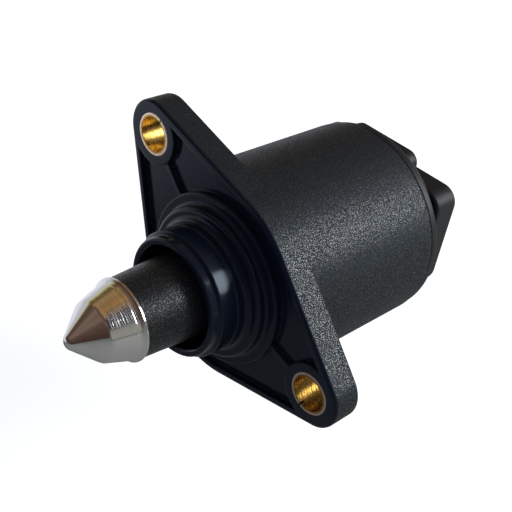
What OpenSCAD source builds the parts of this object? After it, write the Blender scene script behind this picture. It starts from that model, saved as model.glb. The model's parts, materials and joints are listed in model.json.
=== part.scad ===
// Idle air control valve with a two-hole cored flange and a stepper motor
// The valve axis is X: the tapered tip points to -X and the connector to +X
// The origin is on the valve axis, in the plane of the flange's front face, and Z is up

/* [Flange] */
// Distance between the two mounting holes
hole_spacing = 50; // [47:0.5:54]
// Distance from the valve axis to the line through both holes
hole_line_offset = 6.35; // [5.5:0.05:7]
// How far the middle of that line lies towards the upper hole
hole_line_shift = 0.55; // [0:0.05:1]
// Angle of the hole line to the horizontal
hole_line_angle = 30; // [20:1:40]
// Thickness of the flange
flange_thickness = 5.4; // [4.6:0.1:6.4]
// Radius of the two ears
ear_radius = 5.55; // [5.4:0.05:6.4]
// How far each ear reaches out beyond its hole's centre
ear_shift = 0.5; // [0:0.1:0.8]
// Depth of the cored pockets in the front face
core_depth = 1; // [0.8:0.1:2.2]
// Width of the rim round the pockets
rim_width = 1.3; // [1:0.1:1.6]
// Width of the rib from each hole boss to the centre
rib_width = 0.8; // [0.6:0.1:1.6]
// How far the rib tops lie below the rim
rib_drop = 0.2; // [0.1:0.05:0.6]
// Plastic left round each brass sleeve
hole_boss_wall = 1.65; // [1.3:0.05:1.7]
// Rounding of the flange's outer edges
flange_edge = 0.5; // [0.3:0.05:0.8]

/* [Brass sleeves] */
// Outer radius of a sleeve
sleeve_radius = 3.7; // [3.5:0.05:3.75]
// Wall of a sleeve
sleeve_wall = 0.65; // [0.5:0.05:0.9]
// Width of the notch where the rolled edges of a sleeve meet
sleeve_notch = 0.3; // [0.2:0.05:0.5]
// Depth of that notch
sleeve_notch_depth = 0.8; // [0.4:0.1:1.5]

/* [Nose] */
// Length of the nose in front of the flange
nose_length = 9.3; // [8.4:0.1:11]
// Outer radius of the lip
lip_radius = 10.25; // [10:0.05:10.5]
// Wall of the lip
lip_wall = 1.25; // [0.9:0.05:1.5]
// Radius of the sealing land behind the lip
land_radius = 10.9; // [10.7:0.05:11.3]
// Width of the sealing land
land_width = 3.1; // [2.4:0.1:3.4]
// Where the sealing land begins, behind the lip
land_setback = 1.7; // [1.2:0.1:2]
// Radius of the shoulder
shoulder_radius = 13.3; // [12.9:0.05:13.8]
// Height of the shoulder above the flange
shoulder_height = 2.3; // [2:0.1:2.8]
// Radius of the seating land round the shoulder
seat_radius = 15.3; // [14.7:0.05:15.6]
// Height of the seating land above the flange
seat_height = 0.5; // [0.3:0.05:0.7]

/* [Body] */
// Outer radius of the body
body_radius = 18.7; // [18.4:0.05:20]
// Length of the body behind the flange's front face
body_length = 35.4; // [34:0.1:38]
// Wall of the body
body_wall = 2.1; // [1.7:0.05:2.2]
// Depth of the plunger bore behind the flange's front face
bore_depth = 4; // [4:0.1:4.4]
// Wall between the plunger bore and the motor
front_wall = 2.2; // [1.8:0.1:2.4]

/* [Plunger] */
// Travel of the plunger back into the nose
retract_travel = 8; // [6:0.5:8]
// Radius of the plunger at its front edge
stem_radius = 6.75; // [6.5:0.05:7]
// How far the plunger widens over each millimetre towards the body
stem_taper = 0.05; // [0.02:0.005:0.06]
// How far the plunger's front edge stands in front of the lip
stem_reach = 9.6; // [9:0.1:11]
// Radius of the hollow in the plunger's rear
hollow_radius = 5.4; // [5.2:0.05:5.6]

/* [Valve tip] */
// Length of the tip in front of the plunger
tip_length = 10.4; // [9.5:0.1:12]
// Radius of the tip's base rim
tip_rim_radius = 7.03; // [6.95:0.01:7.2]
// Width of the tip's base rim
tip_rim_width = 0.45; // [0.3:0.05:0.7]
// Length of the steep cone at the front
cone_length = 5; // [4.5:0.1:5.4]
// Radius where the steep cone meets the shallow one
cone_radius = 5.1; // [4.8:0.05:5.4]
// Radius of the shallow cone's wide end, before the flare
waist_radius = 6.35; // [6.1:0.05:6.5]
// Rounding of the point
point_radius = 1.6; // [1:0.1:2]

/* [Motor] */
// Length inside the body kept for the carrier, the cover's floor and its seal
rear_space = 9.4; // [9:0.1:10]
// Thickness of the stator sheet
sheet = 0.9; // [0.8:0.05:1]
// Share of the body's radius that the rotor's hole takes
rotor_share = 0.44; // [0.43:0.005:0.46]
// Teeth on each claw plate
claws = 6; // [5:1:8]
// Gap between the rotor magnet and the teeth
air_gap = 0.3; // [0.25:0.05:0.4]
// Wall of the rotor magnet
magnet_wall = 2.7; // [2.4:0.05:3]
// Radius of the rotor's journals
journal_radius = 3.4; // [3.3:0.05:3.6]
// Length of each bearing
bearing_length = 2; // [1.6:0.1:2]
// Wall of each bobbin
bobbin_wall = 0.7; // [0.5:0.05:0.9]

/* [Lead screw] */
// Radius of the threaded length
screw_radius = 2; // [1.8:0.05:2.1]
// Radius of the flatted front length
guide_radius = 2.5; // [2.4:0.05:2.7]
// Height above the thread of the flat that stops the screw from turning
flat_rise = 0.1; // [0.05:0.05:0.2]
// Length of screw behind the nut
screw_overrun = 1; // [0.5:0.1:1.2]

/* [Connector] */
// Width of the connector block
block_width = 31.8; // [31.2:0.1:33]
// Height of the block's top above the valve axis
block_top = 12.7; // [12:0.1:13.2]
// Depth of the block's underside below the valve axis
block_bottom = 8.2; // [7.6:0.1:8.8]
// Corner radius of the block
block_corner = 3.3; // [2.8:0.1:3.8]
// How far the connector stands behind the body
block_depth = 7.6; // [7:0.1:8.4]
// Width of the latch housing on top of the block
latch_width = 15.8; // [14:0.1:16.4]
// How far the latch housing stands to the upper hole's side, which keys the plug
latch_shift = 1.9; // [0:0.1:2.2]
// Height of the latch housing
latch_height = 2.5; // [2:0.1:3]
// Width of the socket
socket_width = 25; // [23:0.5:25]
// Height of the socket
socket_height = 11.4; // [11:0.1:11.6]
// Height of the socket's centre above the valve axis
socket_rise = 2.3; // [1.8:0.1:2.8]
// Distance between neighbouring terminals
terminal_pitch = 5; // [4:0.1:5.4]
// Width of a terminal
terminal_width = 2.8; // [2:0.1:3]
// Thickness of a terminal
terminal_thickness = 0.8; // [0.6:0.05:0.9]

/* [Hidden] */
$fn = 96;
plate_fn = 72;
block_fn = 48;
side_step = 0.02;
eps = 0.01;
running = 0.05;
seat_gap = 0.05;
loose = 0.2;
body_gap = 0.3;
edge_steps = 3;

// Colours of the real materials
black_plastic = [0.09, 0.09, 0.1];
satin_black = [0.13, 0.13, 0.14];
bright_metal = [0.78, 0.76, 0.72];
brass_colour = [0.85, 0.65, 0.28];
steel_colour = [0.62, 0.63, 0.65];
copper_colour = [0.72, 0.42, 0.2];
ferrite_colour = [0.2, 0.2, 0.21];
rubber_colour = [0.07, 0.07, 0.07];
cream_plastic = [0.85, 0.82, 0.72];

// Places along the valve axis, worked out from the front to the rear
lip_x = -nose_length;
stem_front_x = lip_x - stem_reach;
tip_x = stem_front_x - tip_length;
land_x = lip_x + land_setback;
bore_radius = lip_radius - lip_wall;
motor_x = bore_depth + front_wall;
front_stack_x = motor_x + seat_gap;
stack_length = (body_length - motor_x - rear_space) / 2;
rear_stack_x = front_stack_x + stack_length + seat_gap;
stator_end_x = rear_stack_x + stack_length;
carrier_x = stator_end_x + seat_gap;
carrier_thickness = 1.8;
peg_radius = 0.9;
peg_inset = 2.4;
cover_floor_x = carrier_x + carrier_thickness + seat_gap;
cover_floor = 1.5;
seal_section = 0.57;
seal_setback = 3.4;
groove_width = 1.6;
groove_depth = 1.2;
socket_x = cover_floor_x + cover_floor;
rear_x = body_length + block_depth;
stem_stop_gap = 0.4;
stem_rear_x = bore_depth - retract_travel - stem_stop_gap;

// Details of the cover and its block
collar_length = 1.7;
block_gap = 0.35;
block_x = body_length + collar_length + block_gap;
block_edge = 0.6;
collar_step = 0.2;
collar_edge = 0.45;
neck_depth = 1.3;
latch_corner = 2.4;
latch_edge = 0.8;
latch_setback = 0.8;
latch_wall = 3;
latch_roof = 1.6;
socket_corner = 3;
mouth_depth = 3.2;
mouth_step = 3;
terminal_root = 0.5;
terminal_recess = 4;

// Radii inside the body
rotor_hole_radius = body_radius * rotor_share;
cavity_radius = body_radius - body_wall;
stator_radius = cavity_radius - loose;
magnet_radius = rotor_hole_radius - air_gap;
magnet_bore_radius = magnet_radius - magnet_wall;
claw_share = 0.11;
claw_wall = rotor_hole_radius * claw_share;
winding_margin = 0.4;
claw_length = stack_length - 2 * sheet - body_gap;
claw_spread = 65;
claw_taper = 0.55;
half_pitch = 180 / claws;
quarter_pitch = 90 / claws;
claw_gap = 0.1;
bobbin_bore = rotor_hole_radius + claw_wall + claw_gap;
core_radius = bobbin_bore + bobbin_wall;
spool_radius = stator_radius - sheet - winding_margin;
coil_setback = 0.5;
coil_radius = spool_radius - coil_setback;

// The rotor between its two bearings
bearing_radius = rotor_hole_radius - loose;
front_bearing_x = front_stack_x;
magnet_gap = 0.4;
magnet_x = front_bearing_x + bearing_length + magnet_gap;
rear_bearing_x = stator_end_x - bearing_length;
washer_thickness = 0.5;
washer_width = 2.4;
magnet_end_x = rear_bearing_x - washer_thickness - seat_gap - body_gap;
nut_setback = 0.3;
nut_start_x = magnet_x + nut_setback;
nut_length = 6;
screw_end_x = min(nut_start_x + nut_length + screw_overrun, carrier_x - retract_travel - 2 * body_gap);

// The screw, its flatted length and the plunger round it
spare_thread = 0.8;
flat_end_x = nut_start_x - retract_travel - spare_thread;
web_depth = 5.4;
web_rear_x = stem_front_x + web_depth;
spigot_length = 2.5;
spigot_radius = 4;
bush_gap = 1;
bush_radius = hollow_radius - bush_gap;
bush_end_gap = 1.4;
bush_front_x = web_rear_x + retract_travel + bush_end_gap;

// The holes, as [Y, Z] in the flange's plane
across = [-sin(hole_line_angle), cos(hole_line_angle)];
along = [cos(hole_line_angle), sin(hole_line_angle)];
line_middle = hole_line_offset * across + hole_line_shift * along;
upper_hole = line_middle + hole_spacing / 2 * along;
lower_hole = line_middle - hole_spacing / 2 * along;
holes = [upper_hole, lower_hole];
ears = [upper_hole + ear_shift * along, lower_hole - ear_shift * along];
hole_boss_radius = sleeve_radius + hole_boss_wall;
upper_notch_angle = 25;
lower_notch_angle = 200;

// Points of a circular arc in a profile, from one angle to another
function arc(r, x, radius, from, to, steps = 6) =
    [for (i = [0:steps]) let (a = from + (to - from) * i / steps)
        [r + radius * cos(a), x + radius * sin(a)]];

// Turned shape about the valve axis, from a profile of [radius, x] points
module turned(profile) {
    rotate([90, 0, 90]) rotate_extrude() polygon(profile);
}

// Outline in the plane of Y and Z, carried along X from one place over a length
module slab(x, length) {
    translate([x, 0, 0]) rotate([90, 0, 90]) linear_extrude(length) children();
}

// Round bar along the valve axis
module bar(x, length, radius) {
    slab(x, length) circle(radius);
}

// Ring along the valve axis
module ring(x, length, outer, inner) {
    slab(x, length) difference() {
        circle(outer);
        circle(inner);
    }
}

// Disc along X with rounded edges, for rounding a shape that is hulled from such discs
module soft_disc(x, length, radius, edge, segments) {
    translate([x, 0, 0]) rotate([90, 0, 90]) rotate_extrude($fn = segments) polygon(concat(
        [[0, 0]],
        arc(radius - edge, edge, edge, -90, 0, edge_steps),
        arc(radius - edge, length - edge, edge, 0, 90, edge_steps),
        [[0, length]]));
}

// Straight-sided web that joins two circles along their outer tangents
module tangent_web(a, a_radius, b, b_radius) {
    gap = b - a;
    heading = atan2(gap[1], gap[0]);
    spread = acos((a_radius - b_radius) / norm(gap));
    directions = [heading + spread, heading - spread];
    polygon(concat(
        [for (d = directions) a + a_radius * [cos(d), sin(d)]],
        [for (d = [directions[1], directions[0]]) b + b_radius * [cos(d), sin(d)]]));
}

// Flange outline taken in by a margin: a disc, two ears and the webs between them
module flange_outline(margin) {
    circle(body_radius - margin);
    for (ear = ears) {
        translate(ear) circle(ear_radius - margin);
        tangent_web([0, 0], body_radius - margin - side_step, ear, ear_radius - margin - side_step);
    }
}

// Rib from the centre towards one hole
module rib_outline(hole) {
    rotate(atan2(hole[1], hole[0])) translate([0, -rib_width / 2]) square([norm(hole), rib_width]);
}

// Cored pockets of the front face, which leave rim, bosses and ribs standing
module flange_pockets() {
    slab(-eps, core_depth + eps) difference() {
        flange_outline(rim_width);
        circle(seat_radius - seat_overlap);
        for (hole = holes) {
            translate(hole) circle(hole_boss_radius);
            rib_outline(hole);
        }
    }
    slab(-eps, rib_drop + eps) intersection() {
        union() for (hole = holes) rib_outline(hole);
        difference() {
            flange_outline(rim_width);
            circle(seat_radius);
            for (hole = holes) translate(hole) circle(hole_boss_radius);
        }
    }
}

// Flange plate: a disc inside the body's radius and two ears, with straight sides between them
module flange_plate() {
    hull() {
        soft_disc(0, flange_thickness, body_radius - side_step, flange_edge, plate_fn);
        for (ear = ears) translate([0, ear[0], ear[1]])
            soft_disc(0, flange_thickness, ear_radius, flange_edge, plate_fn);
    }
}

// Outside of the nose, from the lip to the seating land, as a turned profile
land_relief = 0.12;
nose_fillet = min(1, shoulder_radius - land_radius - 0.9);
land_end_x = min(land_x + land_width, -shoulder_height - nose_fillet - 0.3);
shoulder_edge = 0.7;
seat_fillet = 0.5;
seat_overlap = 0.5;
lip_edge = 0.35;

function nose_profile() = concat(
    [[0, lip_x]],
    arc(lip_radius - lip_edge, lip_x + lip_edge, lip_edge, -90, 0, 4),
    [[lip_radius + 0.1, land_x - 0.3], [land_radius - 0.15, land_x - 0.05]],
    [[land_radius, land_x + 0.1], [land_radius, land_end_x], [land_radius + land_relief, land_end_x + 0.15]],
    arc(land_radius + land_relief + nose_fillet, -shoulder_height - nose_fillet, nose_fillet, 180, 90, 6),
    arc(shoulder_radius - shoulder_edge, -shoulder_height + shoulder_edge, shoulder_edge, -90, 0, 5),
    arc(shoulder_radius + seat_fillet, -seat_height - seat_fillet, seat_fillet, 180, 90, 4),
    [[seat_radius - 0.25, -seat_height], [seat_radius, -seat_height + 0.25]],
    [[seat_radius, core_depth + 1], [0, core_depth + 1]]);

// One-piece moulding of nose, cored flange and body shell
module housing() {
    bush_hole = bush_radius + seat_gap;
    color(black_plastic) difference() {
        union() {
            difference() {
                union() {
                    flange_plate();
                    turned(concat(
                        [[0, 0]],
                        arc(body_radius - flange_edge, flange_edge, flange_edge, -90, 0, edge_steps),
                        arc(body_radius - 0.6, body_length - 0.6, 0.6, 0, 90, 4),
                        [[0, body_length]]));
                }
                flange_pockets();
            }
            turned(nose_profile());
        }
        // Plunger bore with a lead-in at the lip
        bar(lip_x - 1, nose_length + bore_depth + 1, bore_radius);
        turned([[0, lip_x - eps], [bore_radius + 0.3, lip_x - eps], [bore_radius, lip_x + 0.3],
                [0, lip_x + 0.3]]);
        bar(bore_depth - eps, front_wall + 2 * eps, bush_hole);
        // Motor cavity
        bar(motor_x, body_length, cavity_radius);
        // Holes for the two sleeves
        for (hole = holes) slab(-1, flange_thickness + 2) translate(hole) circle(sleeve_radius + side_step);
    }
}

// Rolled brass sleeve in one ear, with a notch where its edges meet
module sleeve(hole, notch_angle) {
    bore = sleeve_radius - sleeve_wall;
    color(brass_colour) difference() {
        slab(0, flange_thickness) translate(hole) difference() {
            circle(sleeve_radius);
            circle(bore);
        }
        translate([0, hole[0], hole[1]]) rotate([notch_angle, 0, 0])
            translate([-1, -sleeve_notch / 2, bore - 0.5])
                cube([sleeve_notch_depth + 1, sleeve_notch, sleeve_wall + 1]);
    }
}

module upper_sleeve() {
    sleeve(upper_hole, upper_notch_angle);
}

module lower_sleeve() {
    sleeve(lower_hole, lower_notch_angle);
}

// Rectangle with round corners, from its centre
module round_rectangle(width, height, corner) {
    square([width - 2 * corner, height], center = true);
    square([width, height - 2 * corner], center = true);
    for (y = [-1, 1], z = [-1, 1])
        translate([y * (width / 2 - corner), z * (height / 2 - corner)]) circle(corner);
}

// Block hulled from rounded discs at its corners, given as [Y, Z]
module soft_block(x, length, corners, radius, edge) {
    hull() for (corner = corners)
        translate([0, corner[0], corner[1]]) soft_disc(x, length, radius, edge, block_fn);
}

// Centres of a block's four corners, from its extent in Y and Z and its corner radius
function block_corners(left, right, bottom, top, corner) =
    [for (y = [left + corner, right - corner], z = [bottom + corner, top - corner]) [y, z]];

// Round part of the cover: spigot inside the body, smooth collar behind it, then a narrow neck
module cover_round() {
    collar_radius = body_radius - collar_step;
    collar_end_x = body_length + collar_length;
    spigot = cavity_radius - running;
    turned([
        [0, cover_floor_x], [spigot, cover_floor_x], [spigot, body_length],
        [collar_radius, body_length], [collar_radius, collar_end_x - collar_edge],
        [collar_radius - collar_edge / 3, collar_end_x - collar_edge / 3],
        [collar_radius - collar_edge, collar_end_x], [collar_radius - neck_depth, collar_end_x],
        [collar_radius - neck_depth, block_x + 1], [0, block_x + 1]]);
}

// Rear cover with the connector socket and its latch housing
module connector_cover() {
    half = block_width / 2;
    latch_left = latch_shift - latch_width / 2;
    latch_top = block_top + latch_height;
    latch_x = body_length + latch_setback;
    color(satin_black) difference() {
        union() {
            cover_round();
            soft_block(block_x, rear_x - block_x,
                       block_corners(-half, half, -block_bottom, block_top, block_corner),
                       block_corner, block_edge);
            soft_block(latch_x, rear_x - latch_x,
                       block_corners(latch_left, latch_left + latch_width, 0, latch_top, latch_corner),
                       latch_corner, latch_edge);
        }
        // Socket and its wider mouth
        slab(socket_x, block_depth + body_length) translate([0, socket_rise])
            round_rectangle(socket_width, socket_height, socket_corner);
        slab(rear_x - mouth_depth, block_depth) translate([0, socket_rise])
            round_rectangle(socket_width + mouth_step, socket_height + mouth_step, socket_corner + 0.5);
        // Window for the plug's catch
        translate([rear_x - mouth_depth, latch_left + latch_wall, socket_rise])
            cube([block_depth, latch_width - 2 * latch_wall, latch_top - latch_roof - socket_rise]);
        // Groove for the seal
        ring(body_length - seal_setback - groove_width / 2, groove_width, cavity_radius + 1,
             cavity_radius - groove_depth);
        terminal_slots(cover_floor_x - 1, cover_floor + 2);
    }
}

// Slots that the terminals pass through
module terminal_slots(x, length) {
    for (i = [-1.5:1:1.5])
        translate([x, i * terminal_pitch - terminal_width / 2 - running,
                   socket_rise - terminal_thickness / 2 - running])
            cube([length, terminal_width + 2 * running, terminal_thickness + 2 * running]);
}

// Round seal between the cover's spigot and the body
module cover_seal() {
    color(rubber_colour) rotate([90, 0, 90]) rotate_extrude()
        translate([cavity_radius - side_step - seal_section, body_length - seal_setback])
            circle(seal_section, $fn = 24);
}

// Four blades, chamfered at their free ends
module terminal_pins() {
    root_x = carrier_x + terminal_root;
    length = rear_x - terminal_recess - root_x;
    tip = 0.6;
    color(bright_metal) for (i = [-1.5:1:1.5])
        translate([root_x, i * terminal_pitch, socket_rise - terminal_thickness / 2])
            linear_extrude(terminal_thickness) polygon([
                [0, -terminal_width / 2], [length - tip, -terminal_width / 2],
                [length, -terminal_width / 4], [length, terminal_width / 4],
                [length - tip, terminal_width / 2], [0, terminal_width / 2]]);
}

// Plastic disc behind the stator that carries the terminals
module terminal_carrier() {
    color(cream_plastic) difference() {
        bar(carrier_x, carrier_thickness, stator_radius);
        terminal_slots(carrier_x - 1, carrier_thickness + 2);
        for (a = [45:90:315]) rotate([a, 0, 0]) translate([0, 0, stator_radius - peg_inset])
            slab(carrier_x - 1, carrier_thickness + 2) circle(peg_radius);
    }
}

// Guide for the flatted length of the screw, held in the front wall
module guide_bush() {
    color(cream_plastic) difference() {
        bar(bush_front_x, motor_x - bush_front_x, bush_radius);
        flatted_bar(bush_front_x - 1, motor_x - bush_front_x + 2, running);
    }
}

// Bar with one flat on top, made larger all round by a clearance
module flatted_bar(x, length, clearance) {
    radius = guide_radius + clearance;
    slab(x, length) difference() {
        circle(radius);
        translate([-radius, screw_radius + flat_rise + clearance]) square([2 * radius, radius]);
    }
}

module front_bearing() {
    color(brass_colour)
        ring(front_bearing_x, bearing_length, bearing_radius, journal_radius + running);
}

module rear_bearing() {
    color(brass_colour)
        ring(rear_bearing_x, bearing_length, bearing_radius, journal_radius + running);
}

// Washer that takes the rotor's thrust at the rear
module thrust_washer() {
    color(steel_colour) ring(rear_bearing_x - washer_thickness - seat_gap, washer_thickness,
                             journal_radius + washer_width, journal_radius + 2 * running);
}

// One ring of tapered claws that grow from a plate towards +X or -X
module claw_ring(root_x, turn, direction) {
    half_root = (rotor_hole_radius + claw_wall) * tan(claw_spread / claws);
    half_end = half_root * claw_taper;
    reach = direction * claw_length;
    intersection() {
        ring(min(root_x, root_x + reach), claw_length, rotor_hole_radius + claw_wall, rotor_hole_radius);
        for (i = [0:claws - 1]) rotate([turn + i * 360 / claws, 0, 0]) translate([root_x, 0, 0])
            linear_extrude(rotor_hole_radius + 2) polygon([
                [0, -half_root], [reach, -half_end], [reach, half_end], [0, half_root]]);
    }
}

// Cup with its outer wall and claws, opening to +X or to -X
module stator_cup(x, turn, direction) {
    wall_length = stack_length - sheet - seat_gap;
    disc_x = direction > 0 ? x : x + stack_length - sheet;
    wall_x = direction > 0 ? x : x + stack_length - wall_length;
    root_x = direction > 0 ? x + sheet - eps : x + stack_length - sheet + eps;
    ring(disc_x, sheet, stator_radius, rotor_hole_radius);
    ring(wall_x, wall_length, stator_radius, stator_radius - sheet);
    claw_ring(root_x, turn, direction);
}

// Flat plate with claws that reach into its cup
module stator_plate(x, turn, direction) {
    root_x = direction > 0 ? x + sheet - eps : x + eps;
    ring(x, sheet, stator_radius, rotor_hole_radius);
    claw_ring(root_x, turn, direction);
}

module front_stator_cup() {
    color(steel_colour) stator_cup(front_stack_x, 0, 1);
}

module front_stator_plate() {
    color(steel_colour) stator_plate(front_stack_x + stack_length - sheet, half_pitch, -1);
}

module rear_stator_plate() {
    color(steel_colour) stator_plate(rear_stack_x, quarter_pitch, 1);
}

module rear_stator_cup() {
    color(steel_colour) stator_cup(rear_stack_x, half_pitch + quarter_pitch, -1);
}

// Spool between the claws and the winding, with a cheek at each end
module bobbin(x) {
    length = stack_length - 2 * sheet - 2 * seat_gap;
    cheek = bobbin_wall;
    color(cream_plastic) turned([
        [bobbin_bore, x], [spool_radius, x], [spool_radius, x + cheek], [core_radius, x + cheek],
        [core_radius, x + length - cheek], [spool_radius, x + length - cheek],
        [spool_radius, x + length], [bobbin_bore, x + length]]);
}

// Winding between the cheeks, slightly crowned
module winding(x) {
    length = stack_length - 2 * sheet - 2 * seat_gap - 2 * bobbin_wall;
    start = x + bobbin_wall + seat_gap;
    end = start + length - 2 * seat_gap;
    crown = 0.3;
    shoulder = 0.8;
    inner = core_radius + seat_gap;
    color(copper_colour) turned([
        [inner, start], [coil_radius - crown, start], [coil_radius, start + shoulder],
        [coil_radius, end - shoulder], [coil_radius - crown, end], [inner, end]]);
}

front_bobbin_x = front_stack_x + sheet + seat_gap;
rear_bobbin_x = rear_stack_x + sheet + seat_gap;

module front_bobbin() {
    bobbin(front_bobbin_x);
}

module rear_bobbin() {
    bobbin(rear_bobbin_x);
}

module front_coil() {
    winding(front_bobbin_x);
}

module rear_coil() {
    winding(rear_bobbin_x);
}

// Ring magnet of the rotor
module rotor_magnet() {
    color(ferrite_colour)
        ring(magnet_x, magnet_end_x - magnet_x, magnet_radius, magnet_bore_radius);
}

// Rotor hub with both journals and the nut that drives the screw
module rotor_hub() {
    bore = guide_radius + body_gap;
    hub_radius = magnet_bore_radius - side_step;
    lead_in = 0.4;
    run_out = 0.7;
    front = motor_x + body_gap;
    rear = stator_end_x - body_gap;
    nut_end = nut_start_x + nut_length;
    color(cream_plastic) turned([
        [bore, front], [journal_radius, front], [journal_radius, magnet_x],
        [hub_radius, magnet_x], [hub_radius, magnet_end_x], [journal_radius, magnet_end_x],
        [journal_radius, rear], [bore, rear], [bore, nut_end + run_out],
        [screw_radius + running, nut_end], [screw_radius + running, nut_start_x],
        [bore, nut_start_x - lead_in]]);
}

// Screw with a flatted front length and a threaded rear length
module lead_screw() {
    front = stem_front_x + spigot_length + seat_gap;
    chamfer_x = screw_end_x - 0.6;
    end_radius = screw_radius - 0.4;
    color(steel_colour) union() {
        flatted_bar(front, flat_end_x - front, 0);
        bar(flat_end_x - 0.5, screw_end_x - flat_end_x, screw_radius);
        turned([[0, chamfer_x], [screw_radius, chamfer_x], [end_radius, screw_end_x],
                [0, screw_end_x]]);
    }
}

// Tapered black plunger, hollow at the rear to pass over the guide
module plunger() {
    length = stem_rear_x - stem_front_x;
    rear_radius = stem_radius + length * stem_taper;
    color(satin_black) difference() {
        turned([
            [0, stem_front_x], [stem_radius, stem_front_x], [rear_radius, stem_rear_x],
            [hollow_radius, stem_rear_x], [hollow_radius, web_rear_x], [0, web_rear_x]]);
        bar(stem_front_x - 1, spigot_length + 1, spigot_radius + side_step);
        flatted_bar(stem_front_x, web_rear_x - stem_front_x + 1, side_step);
    }
}

// Turned metal tip: rounded point, steep cone, shallow cone, flare and base rim
module valve_tip() {
    point_x = tip_x + point_radius;
    cone_end_x = tip_x + cone_length;
    cone_run = cone_length - point_radius;
    cone_start = atan2(cone_run, cone_radius) - acos(point_radius / norm([cone_run, cone_radius]));
    rim_edge = 0.08;
    flare_radius = 2 * (tip_rim_radius - rim_edge - waist_radius);
    flare_x = stem_front_x - tip_rim_width - flare_radius * sin(60);
    rim_x = stem_front_x - tip_rim_width;
    spigot_end_x = stem_front_x + spigot_length;
    color(bright_metal) turned(concat(
        arc(0, point_x, point_radius, -90, cone_start, 6),
        [[cone_radius - 0.15, cone_end_x - 0.17], [cone_radius + 0.05, cone_end_x + 0.12]],
        arc(waist_radius + flare_radius, flare_x, flare_radius, 180, 120, 5),
        [[tip_rim_radius, rim_x + rim_edge], [tip_rim_radius, stem_front_x - rim_edge]],
        [[tip_rim_radius - rim_edge, stem_front_x], [spigot_radius, stem_front_x]],
        [[spigot_radius, spigot_end_x - 0.3], [spigot_radius - 0.3, spigot_end_x]],
        [[0, spigot_end_x]]));
}

housing();
upper_sleeve();
lower_sleeve();
connector_cover();
cover_seal();
terminal_pins();
terminal_carrier();
guide_bush();
front_bearing();
rear_bearing();
thrust_washer();
front_stator_cup();
front_stator_plate();
rear_stator_plate();
rear_stator_cup();
front_bobbin();
rear_bobbin();
front_coil();
rear_coil();
rotor_magnet();
rotor_hub();
lead_screw();
plunger();
valve_tip();
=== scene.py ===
import json
import math

import bpy
from mathutils import Matrix, Vector

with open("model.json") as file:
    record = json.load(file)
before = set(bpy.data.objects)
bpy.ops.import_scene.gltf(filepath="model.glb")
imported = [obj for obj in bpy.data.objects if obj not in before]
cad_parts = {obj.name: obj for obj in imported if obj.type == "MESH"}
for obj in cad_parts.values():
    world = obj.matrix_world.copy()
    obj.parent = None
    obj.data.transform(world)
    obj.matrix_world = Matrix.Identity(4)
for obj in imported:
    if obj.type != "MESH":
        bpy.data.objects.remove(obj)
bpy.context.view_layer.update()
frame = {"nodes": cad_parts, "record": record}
nodes = frame["nodes"]
print("frame loaded:", len(nodes), "nodes")


# Node helpers

def newGroup(name, inputs, outputs):
    group = bpy.data.node_groups.new(name, "ShaderNodeTree")
    for label, kind, value in inputs:
        socket = group.interface.new_socket(name=label, in_out="INPUT", socket_type=kind)
        if value is not None:
            socket.default_value = value
    for label, kind in outputs:
        group.interface.new_socket(name=label, in_out="OUTPUT", socket_type=kind)
    start = group.nodes.new("NodeGroupInput")
    end = group.nodes.new("NodeGroupOutput")
    return group, start, end


def newMaterial(name):
    material = bpy.data.materials.new(name)
    material.use_nodes = True
    tree = material.node_tree
    surface = tree.nodes["Principled BSDF"]
    return material, tree, surface


def add(tree, kind, **values):
    node = tree.nodes.new("ShaderNode" + kind)
    for key, value in values.items():
        setattr(node, key, value)
    return node


def put(node, values):
    for key, value in values.items():
        node.inputs[key].default_value = value


def useGroup(tree, group, values):
    node = add(tree, "Group", node_tree=group)
    put(node, values)
    return node


def calculate(tree, operation, first, second=None):
    node = add(tree, "Math", operation=operation)
    for index, value in enumerate((first, second)):
        if isinstance(value, (int, float)):
            node.inputs[index].default_value = value
        elif value is not None:
            tree.links.new(value, node.inputs[index])
    return node.outputs[0]


def plus(tree, first, second):
    return calculate(tree, "ADD", first, second)


def minus(tree, first, second):
    return calculate(tree, "SUBTRACT", first, second)


def times(tree, first, second):
    return calculate(tree, "MULTIPLY", first, second)


def hypotenuse(tree, across, upright):
    squares = plus(tree, times(tree, across, across), times(tree, upright, upright))
    return calculate(tree, "SQRT", squares)


def remap(tree, value, fromRange, toRange=(0.0, 1.0)):
    node = add(tree, "MapRange", interpolation_type="SMOOTHSTEP")
    tree.links.new(value, node.inputs["Value"])
    put(node, {"From Min": fromRange[0], "From Max": fromRange[1],
               "To Min": toRange[0], "To Max": toRange[1]})
    return node.outputs["Result"]


def split(tree, vector):
    parts = add(tree, "SeparateXYZ")
    tree.links.new(vector, parts.inputs["Vector"])
    return parts.outputs


def dot(tree, vector, other):
    node = add(tree, "VectorMath", operation="DOT_PRODUCT")
    tree.links.new(vector, node.inputs[0])
    if isinstance(other, Vector):
        node.inputs[1].default_value = other
    else:
        tree.links.new(other, node.inputs[1])
    return node.outputs["Value"]


def colourMix(tree, factor, first, second):
    node = add(tree, "Mix", data_type="RGBA")
    tree.links.new(factor, node.inputs["Factor"])
    for socket, value in zip((node.inputs[6], node.inputs[7]), (first, second)):
        if isinstance(value, tuple):
            socket.default_value = (*value, 1.0)
        else:
            tree.links.new(value, socket)
    return node.outputs[2]


def roundedNormal(tree, radius):
    edges = add(tree, "Bevel", samples=6)
    edges.inputs["Radius"].default_value = radius
    return edges.outputs["Normal"]


# Effects that several materials share

mouldedLook = {
    "grainTop": 0.9,  # each grain is a dome round its centre
    "gritShare": 0.5,  # height of the grit against the grains
    "gritDetail": 2.0,
    "gritRoughness": 0.6,
    "driftScale": 160.0,
    "driftDetail": 3.0,
    "drift": 0.12,
    "fleckRange": (0.54, 0.72),
    "sparkleRange": (0.5, 0.66),
}


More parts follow.
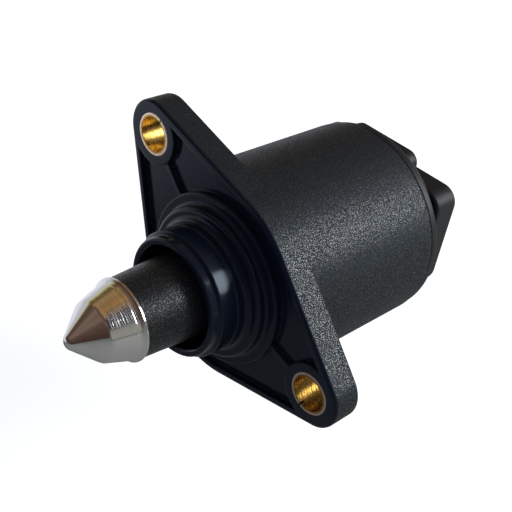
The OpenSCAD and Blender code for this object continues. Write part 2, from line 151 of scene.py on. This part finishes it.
def buildMouldedTexture(look):
    # Sparked-mould texture: rounded grains with finer grit on top
    group, start, end = newGroup(
        "MouldedTexture",
        [("Grains per metre", "NodeSocketFloat", 2600.0), ("Height", "NodeSocketFloat", 0.00003),
         ("Base roughness", "NodeSocketFloat", 0.5), ("Roughness spread", "NodeSocketFloat", 0.2),
         ("Mask", "NodeSocketFloat", 1.0), ("Normal", "NodeSocketVector", None)],
        [("Normal", "NodeSocketVector"), ("Roughness", "NodeSocketFloat"),
         ("Fleck", "NodeSocketFloat"), ("Sparkle", "NodeSocketFloat")])
    place = add(group, "TexCoord")
    grains = add(group, "TexVoronoi", feature="F1", voronoi_dimensions="3D")
    put(grains, {"Randomness": 1.0})
    grit = add(group, "TexNoise")
    put(grit, {"Detail": look["gritDetail"], "Roughness": look["gritRoughness"]})
    broad = add(group, "TexNoise")
    put(broad, {"Scale": look["driftScale"], "Detail": look["driftDetail"]})
    for node in (grains, grit, broad):
        group.links.new(place.outputs["Object"], node.inputs["Vector"])
    for node in (grains, grit):
        group.links.new(start.outputs["Grains per metre"], node.inputs["Scale"])
    lumps = minus(group, look["grainTop"], grains.outputs["Distance"])
    relief = plus(group, lumps, times(group, grit.outputs["Fac"], look["gritShare"]))
    bump = add(group, "Bump")
    group.links.new(start.outputs["Mask"], bump.inputs["Strength"])
    group.links.new(start.outputs["Height"], bump.inputs["Distance"])
    group.links.new(relief, bump.inputs["Height"])
    group.links.new(start.outputs["Normal"], bump.inputs["Normal"])
    spread = times(group, minus(group, grit.outputs["Fac"], 0.5),
                   start.outputs["Roughness spread"])
    drift = times(group, minus(group, broad.outputs["Fac"], 0.5), look["drift"])
    rough = plus(group, start.outputs["Base roughness"], plus(group, spread, drift))
    fleck = remap(group, grit.outputs["Fac"], look["fleckRange"])
    sparkle = remap(group, grit.outputs["Fac"], look["sparkleRange"])
    group.links.new(bump.outputs["Normal"], end.inputs["Normal"])
    group.links.new(rough, end.inputs["Roughness"])
    group.links.new(fleck, end.inputs["Fleck"])
    group.links.new(sparkle, end.inputs["Sparkle"])
    return group


handlingLook = {
    "speckScale": 900.0,
    "speckSize": 0.16,
    "patchScale": 70.0,
    "patchDetail": 4.0,
    "patchRange": (0.5, 0.68),
    "smearScale": 110.0,
    "smearDetail": 3.0,
    "smearTwist": 1.2,
    "smearRange": (0.45, 0.7),
}


def buildHandling(look):
    # Light dust in patches, and smudges from handling
    group, start, end = newGroup(
        "Handling",
        [("Dust", "NodeSocketFloat", 0.3), ("Smudge", "NodeSocketFloat", 0.3)],
        [("Dust mask", "NodeSocketFloat"), ("Smudge mask", "NodeSocketFloat")])
    place = add(group, "TexCoord")
    specks = add(group, "TexVoronoi", feature="F1")
    put(specks, {"Scale": look["speckScale"]})
    patches = add(group, "TexNoise")
    put(patches, {"Scale": look["patchScale"], "Detail": look["patchDetail"]})
    smears = add(group, "TexNoise")
    put(smears, {"Scale": look["smearScale"], "Detail": look["smearDetail"],
                 "Distortion": look["smearTwist"]})
    for node in (specks, patches, smears):
        group.links.new(place.outputs["Object"], node.inputs["Vector"])
    dots = remap(group, specks.outputs["Distance"], (0.0, look["speckSize"]), (1.0, 0.0))
    area = remap(group, patches.outputs["Fac"], look["patchRange"])
    dust = times(group, times(group, dots, area), start.outputs["Dust"])
    smudge = times(group, remap(group, smears.outputs["Fac"], look["smearRange"]),
                   start.outputs["Smudge"])
    group.links.new(dust, end.inputs["Dust mask"])
    group.links.new(smudge, end.inputs["Smudge mask"])
    return group


turningLook = {
    "slope": 0.35,  # moves the rings along X with the radius, so that cones and ends get them
    "ringScale": 1.7,
    "ringDetail": 2.0,
    "ringRoughness": 0.7,
    "scallopShare": 0.2,
    "bandScale": 900.0,
    "bandDetail": 1.0,
    "bandShare": 0.6,
    "cloudScale": 260.0,
    "cloudDetail": 4.0,
    "cloudShare": 0.4,
    "stainRange": (0.48, 0.7),
}


def buildTurningMarks(look):
    # Fine rings left by a lathe round an axis along X
    group, start, end = newGroup(
        "TurningMarks",
        [("Rings per metre", "NodeSocketFloat", 9000.0), ("Height", "NodeSocketFloat", 0.000004),
         ("Base roughness", "NodeSocketFloat", 0.2), ("Roughness spread", "NodeSocketFloat", 0.2),
         ("Mask", "NodeSocketFloat", 1.0), ("Normal", "NodeSocketVector", None)],
        [("Normal", "NodeSocketVector"), ("Roughness", "NodeSocketFloat"),
         ("Stain", "NodeSocketFloat")])
    place = add(group, "TexCoord").outputs["Object"]
    parts = split(group, place)
    radius = hypotenuse(group, parts["Y"], parts["Z"])
    along = plus(group, parts["X"], times(group, radius, look["slope"]))
    turns = times(group, along, start.outputs["Rings per metre"])
    rings = add(group, "TexNoise", noise_dimensions="1D")
    put(rings, {"Scale": look["ringScale"], "Detail": look["ringDetail"],
                "Roughness": look["ringRoughness"]})
    group.links.new(turns, rings.inputs["W"])
    scallops = calculate(group, "SINE", times(group, turns, 2 * math.pi))
    groove = plus(group, times(group, scallops, look["scallopShare"]), rings.outputs["Fac"])
    bands = add(group, "TexNoise", noise_dimensions="1D")
    put(bands, {"Scale": look["bandScale"], "Detail": look["bandDetail"]})
    group.links.new(along, bands.inputs["W"])
    cloud = add(group, "TexNoise")
    put(cloud, {"Scale": look["cloudScale"], "Detail": look["cloudDetail"]})
    group.links.new(place, cloud.inputs["Vector"])
    bump = add(group, "Bump")
    group.links.new(start.outputs["Height"], bump.inputs["Distance"])
    group.links.new(groove, bump.inputs["Height"])
    group.links.new(start.outputs["Mask"], bump.inputs["Strength"])
    group.links.new(start.outputs["Normal"], bump.inputs["Normal"])
    uneven = plus(group, times(group, bands.outputs["Fac"], look["bandShare"]),
                  times(group, cloud.outputs["Fac"], look["cloudShare"]))
    spread = times(group, minus(group, uneven, 0.5), start.outputs["Roughness spread"])
    rough = plus(group, start.outputs["Base roughness"], spread)
    stain = remap(group, cloud.outputs["Fac"], look["stainRange"])
    group.links.new(bump.outputs["Normal"], end.inputs["Normal"])
    group.links.new(rough, end.inputs["Roughness"])
    group.links.new(stain, end.inputs["Stain"])
    return group


mouldedTexture = buildMouldedTexture(mouldedLook)
handling = buildHandling(handlingLook)
turningMarks = buildTurningMarks(turningLook)
print("node groups built")


# Materials

# The glitter of moulded grain is a coat that only some grains carry
glitter = {
    "Coat IOR": 1.76,
    "Coat Roughness": 0.37,
}

housingLook = {
    "textured": (0.0142, 0.018, 0.0205),
    "glossy": (0.01, 0.0145, 0.028),
    "specular": 0.24,
    "sheen": (0.74, 0.86, 1.0),
    "sparkle": 1.0,
    "grainsPerMetre": 5600.0,
    "grainHeight": 0.00004,
    "polishedGrain": 0.03,  # share of the grain left on the polished faces
    "texturedRoughness": 0.6,
    "roughnessSpread": 0.35,
    "glossyRoughness": 0.15,
    "edgeRadius": 0.00035,
    "textureRange": (0.0004, 0.0007),  # where along X the mould's texture sets in
    "recessEnd": 0.0011,
    "seatRadius": 0.0156,
    "frontRange": (-0.85, -0.6),  # normals along X that count as the polished front
    "fleck": 0.3,
    "fleckColour": (0.07, 0.072, 0.075),
    "dust": 0.5,
    "dustColour": (0.12, 0.12, 0.12),
    "smudge": 0.35,
    "smudgeRoughness": 0.3,
}


def buildHousingMaterial(look):
    material, tree, surface = newMaterial("HousingPlastic")
    place = add(tree, "TexCoord")
    parts = split(tree, place.outputs["Object"])
    facing = split(tree, place.outputs["Normal"])
    behind = remap(tree, parts["X"], look["textureRange"])
    sideways = remap(tree, facing["X"], look["frontRange"])
    # The recess in the flange's face is polished, and its walls face inwards
    level = add(tree, "CombineXYZ")
    tree.links.new(parts["Y"], level.inputs["Y"])
    tree.links.new(parts["Z"], level.inputs["Z"])
    radius = add(tree, "VectorMath", operation="LENGTH")
    tree.links.new(level.outputs["Vector"], radius.inputs[0])
    outward = dot(tree, level.outputs["Vector"], place.outputs["Normal"])
    outside = times(tree, calculate(tree, "GREATER_THAN", outward, 0.0),
                    calculate(tree, "GREATER_THAN", radius.outputs["Value"], look["seatRadius"]))
    pastRecess = calculate(tree, "GREATER_THAN", parts["X"], look["recessEnd"])
    behind = times(tree, behind, calculate(tree, "MAXIMUM", outside, pastRecess))
    textured = times(tree, behind, sideways)

    grain = useGroup(tree, mouldedTexture, {
        "Grains per metre": look["grainsPerMetre"], "Height": look["grainHeight"],
        "Base roughness": look["texturedRoughness"],
        "Roughness spread": look["roughnessSpread"]})
    grainMask = plus(tree, times(tree, textured, 1.0 - look["polishedGrain"]),
                     look["polishedGrain"])
    tree.links.new(grainMask, grain.inputs["Mask"])
    tree.links.new(roundedNormal(tree, look["edgeRadius"]), grain.inputs["Normal"])
    tree.links.new(grain.outputs["Normal"], surface.inputs["Normal"])

    marks = useGroup(tree, handling, {"Dust": look["dust"], "Smudge": look["smudge"]})
    base = colourMix(tree, textured, look["glossy"], look["textured"])
    flecks = times(tree, times(tree, grain.outputs["Fleck"], textured), look["fleck"])
    base = colourMix(tree, flecks, base, look["fleckColour"])
    base = colourMix(tree, marks.outputs["Dust mask"], base, look["dustColour"])
    tree.links.new(base, surface.inputs["Base Color"])

    smears = times(tree, marks.outputs["Smudge mask"], look["smudgeRoughness"])
    gloss = plus(tree, look["glossyRoughness"], smears)
    roughness = add(tree, "Mix", data_type="FLOAT")
    tree.links.new(textured, roughness.inputs["Factor"])
    tree.links.new(gloss, roughness.inputs[2])
    tree.links.new(grain.outputs["Roughness"], roughness.inputs[3])
    tree.links.new(roughness.outputs[0], surface.inputs["Roughness"])

    glints = times(tree, grain.outputs["Sparkle"], textured)
    tree.links.new(times(tree, glints, look["sparkle"]), surface.inputs["Coat Weight"])
    put(surface, glitter)
    put(surface, {"Specular IOR Level": look["specular"],
                  "Specular Tint": (*look["sheen"], 1.0)})
    return material


# A plastic's own values take the place of these
plasticLook = {
    "roughnessSpread": 0.2,
    "edgeRadius": 0.0003,
    "specular": 0.3,
    "fleck": 0.0,
    "fleckGain": 3.0,
    "fleckLift": 0.02,
    "sparkle": 0.0,
    "dust": 0.3,
    "dustColour": (0.14, 0.14, 0.14),
    "smudge": 0.3,
    "smudgeRoughness": 0.12,
}

plastics = {
    "cover": {
        "name": "CoverPlastic", "colour": (0.016, 0.017, 0.0185), "roughness": 0.42,
        "grainsPerMetre": 1900.0, "grainHeight": 0.000006, "roughnessSpread": 0.1,
        "edgeRadius": 0.0005},
    "plunger": {
        "name": "PlungerPlastic", "colour": (0.0155, 0.017, 0.019), "roughness": 0.33,
        "grainsPerMetre": 4600.0, "grainHeight": 0.00005, "roughnessSpread": 0.3,
        "edgeRadius": 0.0002, "specular": 0.15, "fleck": 0.2, "sparkle": 0.85},
    "carrier": {
        "name": "NaturalPlastic", "colour": (0.62, 0.57, 0.44), "roughness": 0.45,
        "grainsPerMetre": 1500.0, "grainHeight": 0.000005},
    "magnet": {
        "name": "MagnetFerrite", "colour": (0.035, 0.034, 0.036), "roughness": 0.6,
        "grainsPerMetre": 2600.0, "grainHeight": 0.00002},
    "seal": {
        "name": "SealRubber", "colour": (0.012, 0.012, 0.012), "roughness": 0.5,
        "grainsPerMetre": 1800.0, "grainHeight": 0.000006},
}


def buildPlainPlastic(look):
    material, tree, surface = newMaterial(look["name"])
    grain = useGroup(tree, mouldedTexture, {
        "Grains per metre": look["grainsPerMetre"], "Height": look["grainHeight"],
        "Base roughness": look["roughness"], "Roughness spread": look["roughnessSpread"]})
    tree.links.new(roundedNormal(tree, look["edgeRadius"]), grain.inputs["Normal"])
    tree.links.new(grain.outputs["Normal"], surface.inputs["Normal"])
    marks = useGroup(tree, handling, {"Dust": look["dust"], "Smudge": look["smudge"]})
    fleckColour = tuple(min(1.0, tone * look["fleckGain"] + look["fleckLift"])
                        for tone in look["colour"])
    flecks = times(tree, grain.outputs["Fleck"], look["fleck"])
    base = colourMix(tree, flecks, look["colour"], fleckColour)
    base = colourMix(tree, marks.outputs["Dust mask"], base, look["dustColour"])
    tree.links.new(base, surface.inputs["Base Color"])
    smears = times(tree, marks.outputs["Smudge mask"], look["smudgeRoughness"])
    tree.links.new(plus(tree, grain.outputs["Roughness"], smears), surface.inputs["Roughness"])
    put(surface, {"Specular IOR Level": look["specular"]})
    if look["sparkle"] > 0.0:
        glints = times(tree, grain.outputs["Sparkle"], look["sparkle"])
        tree.links.new(glints, surface.inputs["Coat Weight"])
        put(surface, glitter)
    return material


# A metal's own values take the place of these
metalLook = {
    "edgeRadius": 0.0001,
    "stainShare": 0.6,
    "smoothUntil": None,
    "smoothMarks": 0.05,
    "smoothFade": 0.0002,
    "rimReflection": None,
    "endRange": (-0.9, -0.7),
    "chamferFade": 0.00004,
}

metals = {
    "coil": {
        "name": "WindingCopper", "colour": (0.72, 0.32, 0.14), "stain": (0.5, 0.2, 0.08),
        "roughness": 0.3, "roughnessSpread": 0.1, "ringsPerMetre": 5000.0,
        "ringHeight": 0.00004},
    "tip": {
        "name": "TipMetal", "colour": (0.83, 0.82, 0.8), "stain": (0.76, 0.73, 0.68),
        "roughness": 0.09, "roughnessSpread": 0.12, "ringsPerMetre": 2300.0,
        "ringHeight": 0.000042, "edgeRadius": 0.00012,
        "smoothUntil": -0.0242},  # the front cone is cut finer than what lies behind it
    "terminal": {
        "name": "TerminalTin", "colour": (0.78, 0.77, 0.74), "stain": (0.6, 0.58, 0.52),
        "roughness": 0.28, "roughnessSpread": 0.15, "ringsPerMetre": 6000.0,
        "ringHeight": 0.000002},
    "bearing": {
        "name": "BearingBronze", "colour": (0.62, 0.42, 0.2), "stain": (0.42, 0.26, 0.1),
        "roughness": 0.35, "roughnessSpread": 0.2, "ringsPerMetre": 6000.0,
        "ringHeight": 0.000003},
    "stator": {
        "name": "StatorSteel", "colour": (0.56, 0.56, 0.57), "stain": (0.42, 0.41, 0.4),
        "roughness": 0.3, "roughnessSpread": 0.2, "ringsPerMetre": 3000.0,
        "ringHeight": 0.000003},
    "screw": {
        "name": "ScrewSteel", "colour": (0.6, 0.6, 0.62), "stain": (0.45, 0.44, 0.43),
        "roughness": 0.22, "roughnessSpread": 0.15, "ringsPerMetre": 8000.0,
        "ringHeight": 0.000003},
}

# Each sleeve's last colour is for the outer ring of its end face: a painted reflection of the
# bright floor
sleeves = {
    "upper_sleeve": {
        "colour": (0.55, 0.35, 0.09), "stain": (0.36, 0.19, 0.04), "roughness": 0.28,
        "ringHeight": 0.00002, "rimReflection": (0.85, 0.66, 0.52)},
    # The lower sleeve's brass and stain are darker than the upper's: painted shade
    "lower_sleeve": {
        "colour": (0.31, 0.175, 0.036), "stain": (0.18, 0.085, 0.016), "roughness": 0.24,
        "ringHeight": 0.00004, "rimReflection": (0.6, 0.46, 0.4)},
}

# What both sleeves share
sleeveLook = {
    "roughnessSpread": 0.25,
    "ringsPerMetre": 4000.0,
    "chamferRadius": 0.00335,
}


def buildMetal(look):
    material, tree, surface = newMaterial(look["name"])
    marks = useGroup(tree, turningMarks, {
        "Rings per metre": look["ringsPerMetre"], "Height": look["ringHeight"],
        "Base roughness": look["roughness"], "Roughness spread": look["roughnessSpread"]})
    tree.links.new(roundedNormal(tree, look["edgeRadius"]), marks.inputs["Normal"])
    stains = times(tree, marks.outputs["Stain"], look["stainShare"])
    base = colourMix(tree, stains, look["colour"], look["stain"])
    place = add(tree, "TexCoord")
    parts = split(tree, place.outputs["Object"])
    if look["smoothUntil"] is not None:
        coneEnd, fade = look["smoothUntil"], look["smoothFade"]
        depth = remap(tree, parts["X"], (coneEnd - fade, coneEnd + fade),
                      (look["smoothMarks"], 1.0))
        tree.links.new(depth, marks.inputs["Mask"])
    if look["rimReflection"] is not None:  # the outer ring of the end face gets a paler colour, a painted reflection of the bright floor
        facing = split(tree, place.outputs["Normal"])
        across = minus(tree, parts["Y"], look["centre"].y)
        upright = minus(tree, parts["Z"], look["centre"].z)
        radius, fade = look["chamferRadius"], look["chamferFade"]
        outer = remap(tree, hypotenuse(tree, across, upright), (radius - fade, radius + fade))
        front = remap(tree, facing["X"], look["endRange"], (1.0, 0.0))
        base = colourMix(tree, times(tree, front, outer), base, look["rimReflection"])
    tree.links.new(base, surface.inputs["Base Color"])
    tree.links.new(marks.outputs["Roughness"], surface.inputs["Roughness"])
    tree.links.new(marks.outputs["Normal"], surface.inputs["Normal"])
    put(surface, {"Metallic": 1.0})
    return material


def middle(node):
    corners = [Vector(corner) for corner in nodes[node].bound_box]
    return sum(corners, Vector()) / len(corners)


materials = {"housing": buildHousingMaterial(housingLook)}
for slot, look in plastics.items():
    materials[slot] = buildPlainPlastic({**plasticLook, **look})
for slot, look in metals.items():
    materials[slot] = buildMetal({**metalLook, **look})
for sleeve, look in sleeves.items():
    own = {"name": "SleeveBrass_" + sleeve, "centre": middle(sleeve)}
    materials[sleeve] = buildMetal({**metalLook, **sleeveLook, **look, **own})

for part in frame["record"]["subparts"]:
    mesh = nodes[part["node"]].data
    for index in range(len(mesh.materials)):
        mesh.materials[index] = materials.get(part["node"]) or materials[part["material_slot"]]
print("materials set")


# Floor, light and camera

def direction(azimuth, elevation=0.0):
    a, e = math.radians(azimuth), math.radians(elevation)
    return Vector((math.sin(a) * math.cos(e), -math.cos(a) * math.cos(e), math.sin(e)))


floorLook = {
    "height": -0.05,
    "size": 3.0,
    "tone": (0.52, 0.5, 0.455),
    "roughness": 0.9,
    # Painted light: the floor behind the object is paler and glows for glossy rays, as if lit
    # from behind, and polished metal sees it
    "backAzimuth": 165.0,
    "backRange": (0.04, 0.1),
    "paintedBackTone": (0.95, 0.95, 0.95),
    "paintedBackTint": (0.93, 0.93, 1.0),
    "paintedBackGlow": 0.5,
    # What the camera sees: white, but not so bright that the shadow is lost
    "whiteTone": (0.8, 0.8, 0.8),
    "whiteGlow": 0.76,
}


def buildFloor(look):
    bpy.ops.mesh.primitive_plane_add(size=look["size"], location=(0.0, 0.0, look["height"]))
    floor = bpy.context.object
    floor.name = "Floor"
    material, tree, surface = newMaterial("FloorPaper")
    path = add(tree, "LightPath")
    place = add(tree, "NewGeometry").outputs["Position"]
    # Painted light: a paler tone behind the object, and a glow there for glossy rays
    paintedLight = remap(tree, dot(tree, place, direction(look["backAzimuth"])), look["backRange"])
    tree.links.new(colourMix(tree, paintedLight, look["tone"], look["paintedBackTone"]),
                   surface.inputs["Base Color"])
    paintedGlow = times(tree, times(tree, paintedLight, path.outputs["Is Glossy Ray"]), look["paintedBackGlow"])
    tree.links.new(paintedGlow, surface.inputs["Emission Strength"])
    put(surface, {"Roughness": look["roughness"], "Emission Color": (*look["paintedBackTint"], 1.0)})
    seen = add(tree, "BsdfPrincipled")
    put(seen, {"Base Color": (*look["whiteTone"], 1.0), "Roughness": look["roughness"],
               "Emission Color": (1.0, 1.0, 1.0, 1.0), "Emission Strength": look["whiteGlow"]})
    choose = add(tree, "MixShader")
    tree.links.new(path.outputs["Is Camera Ray"], choose.inputs[0])
    tree.links.new(surface.outputs[0], choose.inputs[1])
    tree.links.new(seen.outputs[0], choose.inputs[2])
    tree.links.new(choose.outputs[0], tree.nodes["Material Output"].inputs["Surface"])
    floor.data.materials.append(material)


keyWindow = {
    "azimuth": 46.0,
    "elevation": 30.0,
    "distance": 0.6,
    "width": 0.22,
    "height": 0.3,
    "power": 2.3,
    "colour": (0.93, 0.97, 1.0),
}


def buildWindow(look):
    data = bpy.data.lights.new("KeyWindow", "AREA")
    data.shape = "RECTANGLE"
    data.size = look["width"]
    data.size_y = look["height"]
    data.energy = look["power"]
    data.color = look["colour"]
    lamp = bpy.data.objects.new("KeyWindow", data)
    toward = direction(look["azimuth"], look["elevation"])
    lamp.location = toward * look["distance"]
    lamp.rotation_euler = toward.to_track_quat("Z", "Y").to_euler()
    bpy.context.scene.collection.objects.link(lamp)


# Tones that polished metal sees on each side, by the sine of their elevation. Those of the
# left go all round, and each other side covers them near its azimuth.
room = {
    "left": {
        "stops": [(0.02, (0.05, 0.028, 0.022)), (0.4, (0.085, 0.052, 0.04)),
                  (0.56, (0.11, 0.07, 0.052)), (0.62, (0.2, 0.14, 0.11)),
                  (0.68, (0.11, 0.07, 0.055)), (0.85, (0.12, 0.07, 0.05)),
                  (0.95, (0.36, 0.21, 0.08))]},
    "right": {
        "azimuth": 62.0, "near": 22.0, "far": 38.0,
        "stops": [(0.0, (0.3, 0.3, 0.28)), (0.3, (0.5, 0.5, 0.5)), (0.7, (0.45, 0.44, 0.4)),
                  (0.9, (0.1, 0.08, 0.06))]},
    "front": {
        "azimuth": -5.0, "near": 22.0, "far": 40.0,
        "stops": [(0.12, (0.3, 0.3, 0.27)), (0.4, (0.26, 0.26, 0.24)),
                  (0.55, (0.04, 0.045, 0.06)), (0.93, (0.022, 0.03, 0.05)),
                  (0.975, (0.08, 0.06, 0.055)), (0.99, (0.2, 0.13, 0.075))]},
    "behind": {
        "azimuth": 172.0, "near": 28.0, "far": 40.0,
        "stops": [(0.22, (0.55, 0.55, 0.61)), (0.27, (0.6, 0.58, 0.32)),
                  (0.36, (0.4, 0.37, 0.14)), (0.45, (0.15, 0.1, 0.035)),
                  (0.58, (0.13, 0.08, 0.04)), (0.72, (0.32, 0.215, 0.09)),
                  (0.97, (0.33, 0.19, 0.075))]},
}

skyLook = {
    "fill": (0.18, 0.205, 0.25),  # lights the object
    # A bright strip high up, which puts the streaks on the tip
    "glintAzimuth": 12.0,
    "glintNear": 2.0,
    "glintFar": 7.0,
    "glintHeight": (0.45, 0.6),
    "glint": (1.3, 1.35, 1.4),
}


def heightRamp(tree, height, stops):
    ramp = add(tree, "ValToRGB")
    tree.links.new(height, ramp.inputs["Fac"])
    elements = ramp.color_ramp.elements
    while len(elements) > 1:
        elements.remove(elements[-1])
    for index, (place, colour) in enumerate(stops):
        stop = elements[0] if index == 0 else elements.new(place)
        stop.position = place
        stop.color = (*colour, 1.0)
    return ramp.outputs["Color"]


def towards(tree, heading, azimuth, near, far):
    aim = dot(tree, heading, direction(azimuth))
    return remap(tree, aim, (math.cos(math.radians(far)), math.cos(math.radians(near))))


def buildSky(look):
    world = bpy.data.worlds.new("Studio")
    bpy.context.scene.world = world
    world.use_nodes = True
    tree = world.node_tree
    fill = tree.nodes["Background"]
    put(fill, {"Color": (*look["fill"], 1.0), "Strength": 1.0})
    parts = split(tree, add(tree, "TexCoord").outputs["Generated"])
    level = add(tree, "CombineXYZ")
    tree.links.new(parts["X"], level.inputs["X"])
    tree.links.new(parts["Y"], level.inputs["Y"])
    flat = add(tree, "VectorMath", operation="NORMALIZE")
    tree.links.new(level.outputs["Vector"], flat.inputs[0])
    heading, height = flat.outputs["Vector"], parts["Z"]

    tone = heightRamp(tree, height, room["left"]["stops"])
    for side in ("right", "front", "behind"):
        wall = room[side]
        share = towards(tree, heading, wall["azimuth"], wall["near"], wall["far"])
        tone = colourMix(tree, share, tone, heightRamp(tree, height, wall["stops"]))
    strip = towards(tree, heading, look["glintAzimuth"], look["glintNear"], look["glintFar"])
    strip = times(tree, strip, remap(tree, height, look["glintHeight"]))
    tone = colourMix(tree, strip, tone, look["glint"])
    mirrored = add(tree, "Background")
    tree.links.new(tone, mirrored.inputs["Color"])
    seen = add(tree, "Background")
    put(seen, {"Color": (1.0, 1.0, 1.0, 1.0), "Strength": 1.0})

    path = add(tree, "LightPath")
    shiny = add(tree, "MixShader")
    tree.links.new(path.outputs["Is Glossy Ray"], shiny.inputs[0])
    tree.links.new(fill.outputs[0], shiny.inputs[1])
    tree.links.new(mirrored.outputs[0], shiny.inputs[2])
    choose = add(tree, "MixShader")
    tree.links.new(path.outputs["Is Camera Ray"], choose.inputs[0])
    tree.links.new(shiny.outputs[0], choose.inputs[1])
    tree.links.new(seen.outputs[0], choose.inputs[2])
    tree.links.new(choose.outputs[0], tree.nodes["World Output"].inputs["Surface"])


cameraLook = {
    "lens": 65.21,
    "sensorWidth": 36.0,
    "clipStart": 0.01,
    "place": (-0.08894, -0.08609, 0.09466),
    "right": (0.72573, -0.67244, 0.14538),
    "back": (-0.61267, -0.53557, 0.58121),
}


def buildCamera(look):
    data = bpy.data.cameras.new("PhotoCamera")
    data.lens = look["lens"]
    data.sensor_width = look["sensorWidth"]
    data.clip_start = look["clipStart"]
    camera = bpy.data.objects.new("PhotoCamera", data)
    back = Vector(look["back"]).normalized()
    up = back.cross(Vector(look["right"])).normalized()
    right = up.cross(back)
    turn = Matrix((right, up, back)).transposed().to_4x4()
    camera.matrix_world = Matrix.Translation(look["place"]) @ turn
    bpy.context.scene.collection.objects.link(camera)
    bpy.context.scene.camera = camera


buildFloor(floorLook)
buildWindow(keyWindow)
buildSky(skyLook)
buildCamera(cameraLook)
bpy.context.scene.view_settings.view_transform = "Standard"
print("studio built")
